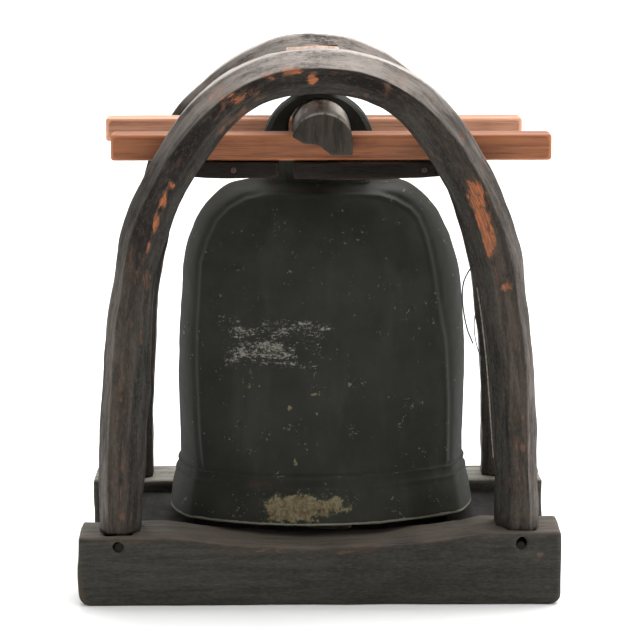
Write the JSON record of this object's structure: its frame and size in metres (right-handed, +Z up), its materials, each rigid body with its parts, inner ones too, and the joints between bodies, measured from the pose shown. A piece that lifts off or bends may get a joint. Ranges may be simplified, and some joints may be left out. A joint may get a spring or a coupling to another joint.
{
  "type": "temple bell",
  "caption": "Flattened cast bronze bell hung by its loop on a beam between two arched wooden frames on base rails, with loose wooden poles under the beam and a plank clapper inside.",
  "frame": {"origin": "middle of the base, on the surface that the two base rails stand on", "axes": "+Z up, +X to the right along the rails, +Y from the front arch to the rear arch"},
  "size_m": [0.47, 0.268, 0.5415],
  "materials": {
    "bronze": "matte, almost black patina with pale corroded specks and a worn lip",
    "dark_wood": "matte, dark stained and hewn, worn to reddish wood on the edges",
    "rail_wood": "matte, dark stained, worn brown along the edges",
    "beam_wood": "matte grey-brown end grain",
    "pole_wood": "bare, hand planed, satin",
    "raw_wood": "bare, sawn, matte",
    "clapper_wood": "bare, weathered, matte",
    "iron": "rusted, matte",
    "black_wire": "dull black",
    "string": "matte twine"
  },
  "bodies": {
    "stand": {"front_base_rail": "rail_wood", "front_arch": "dark_wood", "front_crown_peg": "dark_wood", "front_left_arch_dowel": "dark_wood", "front_left_rest_board": "dark_wood", "front_left_face_nail": "iron", "front_left_lap_nail": "iron", "front_right_arch_dowel": "dark_wood", "front_right_rest_board": "dark_wood", "front_right_face_nail": "iron", "front_right_lap_nail": "iron", "rear_base_rail": "rail_wood", "rear_arch": "dark_wood", "rear_crown_peg": "dark_wood", "rear_left_arch_dowel": "dark_wood", "rear_left_rest_board": "dark_wood", "rear_left_face_nail": "iron", "rear_left_lap_nail": "iron", "rear_right_arch_dowel": "dark_wood", "rear_right_rest_board": "dark_wood", "rear_right_face_nail": "iron", "rear_right_lap_nail": "iron", "left_cross_rail": "rail_wood", "right_cross_rail": "rail_wood", "hanger_beam": "beam_wood", "crown_spacer": "raw_wood", "leg_wire_stub": "black_wire", "leg_wire_loop": "black_wire", "leg_string": "string"},
    "bell": {"bell": "bronze", "clapper_staple": "iron"},
    "clapper": {"clapper": "clapper_wood", "clapper_link": "iron"},
    "front_pole": {"front_pole": "pole_wood"},
    "rear_pole": {"rear_pole": "pole_wood"}
  },
  "joints": [
    {"name": "bell_swing", "type": "hinge", "parent": "stand", "child": "bell", "pos_m": [0, 0, 0.455], "axis": [0, 1, 0], "range_deg": [-2, 2]},
    {"name": "clapper_swing", "type": "hinge", "parent": "bell", "child": "clapper", "pos_m": [0.012, 0, 0.364], "axis": [0, 1, 0], "range_deg": [-20, 23]},
    {"name": "front_pole_slide", "type": "slide", "parent": "stand", "child": "front_pole", "axis": [1, 0, 0], "range_m": [-0.15, 0.13]},
    {"name": "rear_pole_slide", "type": "slide", "parent": "stand", "child": "rear_pole", "axis": [1, 0, 0], "range_m": [-0.13, 0.14]}
  ]
}
